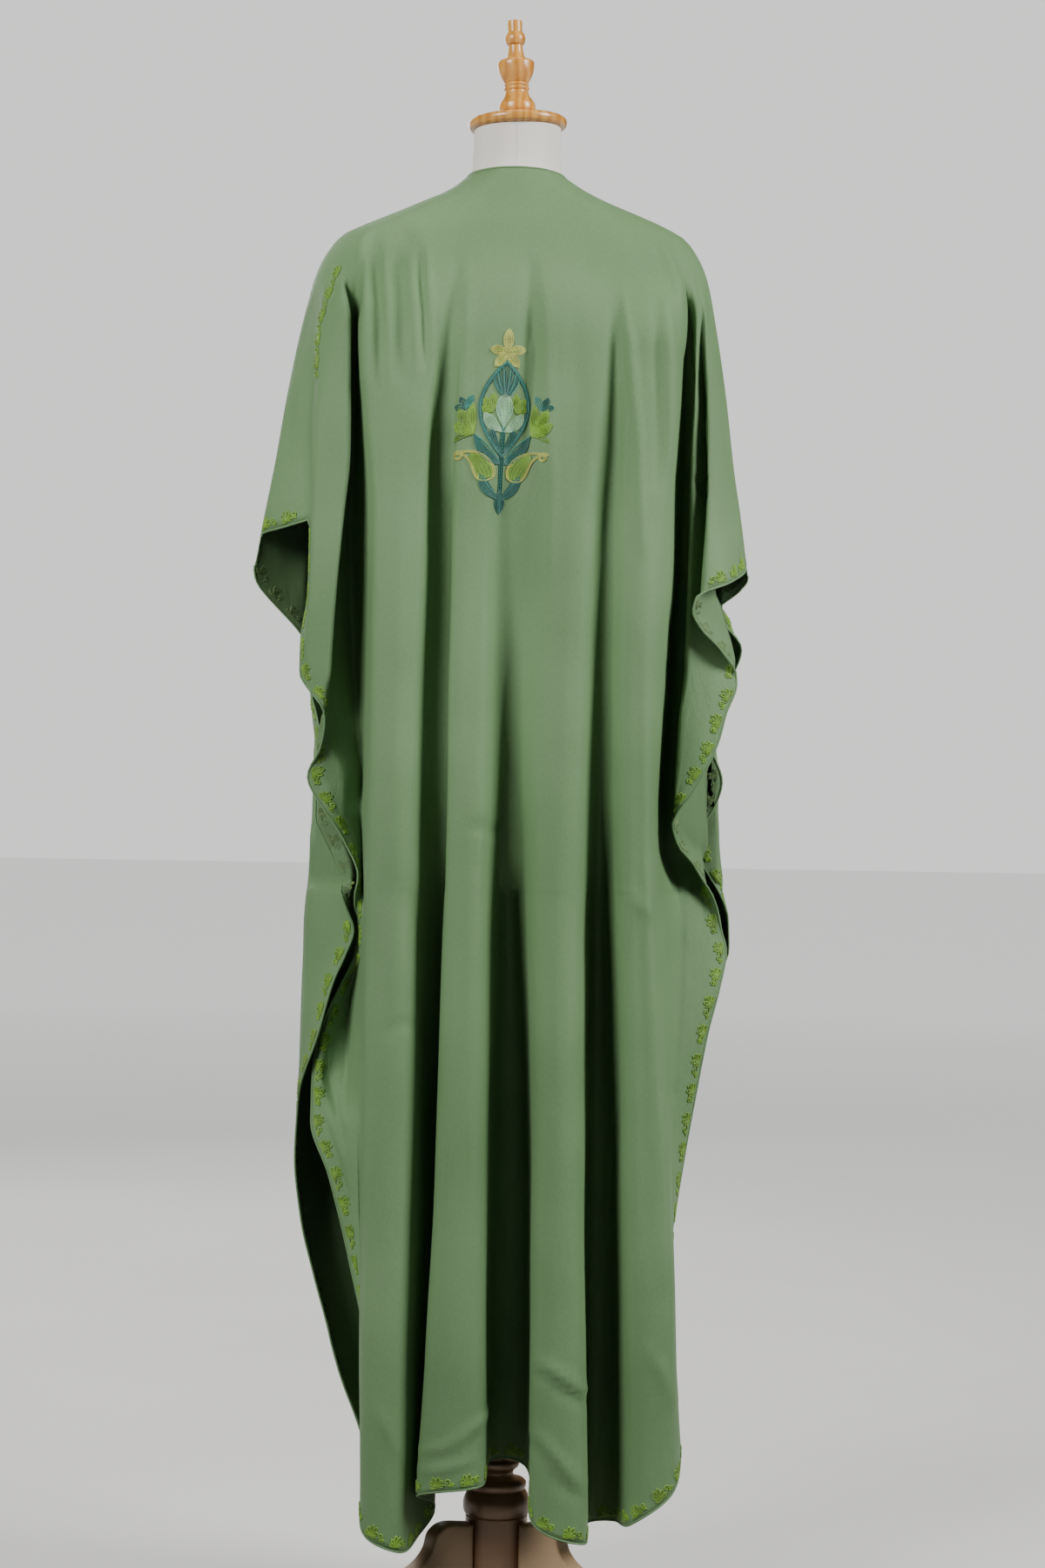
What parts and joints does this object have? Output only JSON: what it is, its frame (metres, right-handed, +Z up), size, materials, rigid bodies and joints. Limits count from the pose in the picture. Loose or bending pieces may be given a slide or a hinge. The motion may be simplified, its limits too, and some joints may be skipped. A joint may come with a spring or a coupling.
{
  "type": "moroccan kaftan on a dress form",
  "caption": "Long sage green kaftan with open sleeves and cascading side edges, worn by a limbless linen dress form on a turned wooden three-legged stand",
  "frame": {"origin": "on the floor under the stand's hub, on the stand's axis", "axes": "+Z up along the post; the garment's back faces -Y and its front +Y; +X is towards the wearer's right"},
  "size_m": [0.5264, 0.3566, 1.7109],
  "materials": {
    "cloth": "satin",
    "linen": "matte",
    "light wood": "satin",
    "leg wood": "satin",
    "dark wood": "satin"
  },
  "bodies": {
    "root": {"back_panel": "cloth", "front_panel": "cloth", "dress_form": "linen", "neck_cap": "light wood", "finial": "light wood", "post": "dark wood", "hub": "dark wood", "leg_1": "leg wood", "leg_2": "leg wood", "leg_3": "leg wood"}
  },
  "joints": []
}
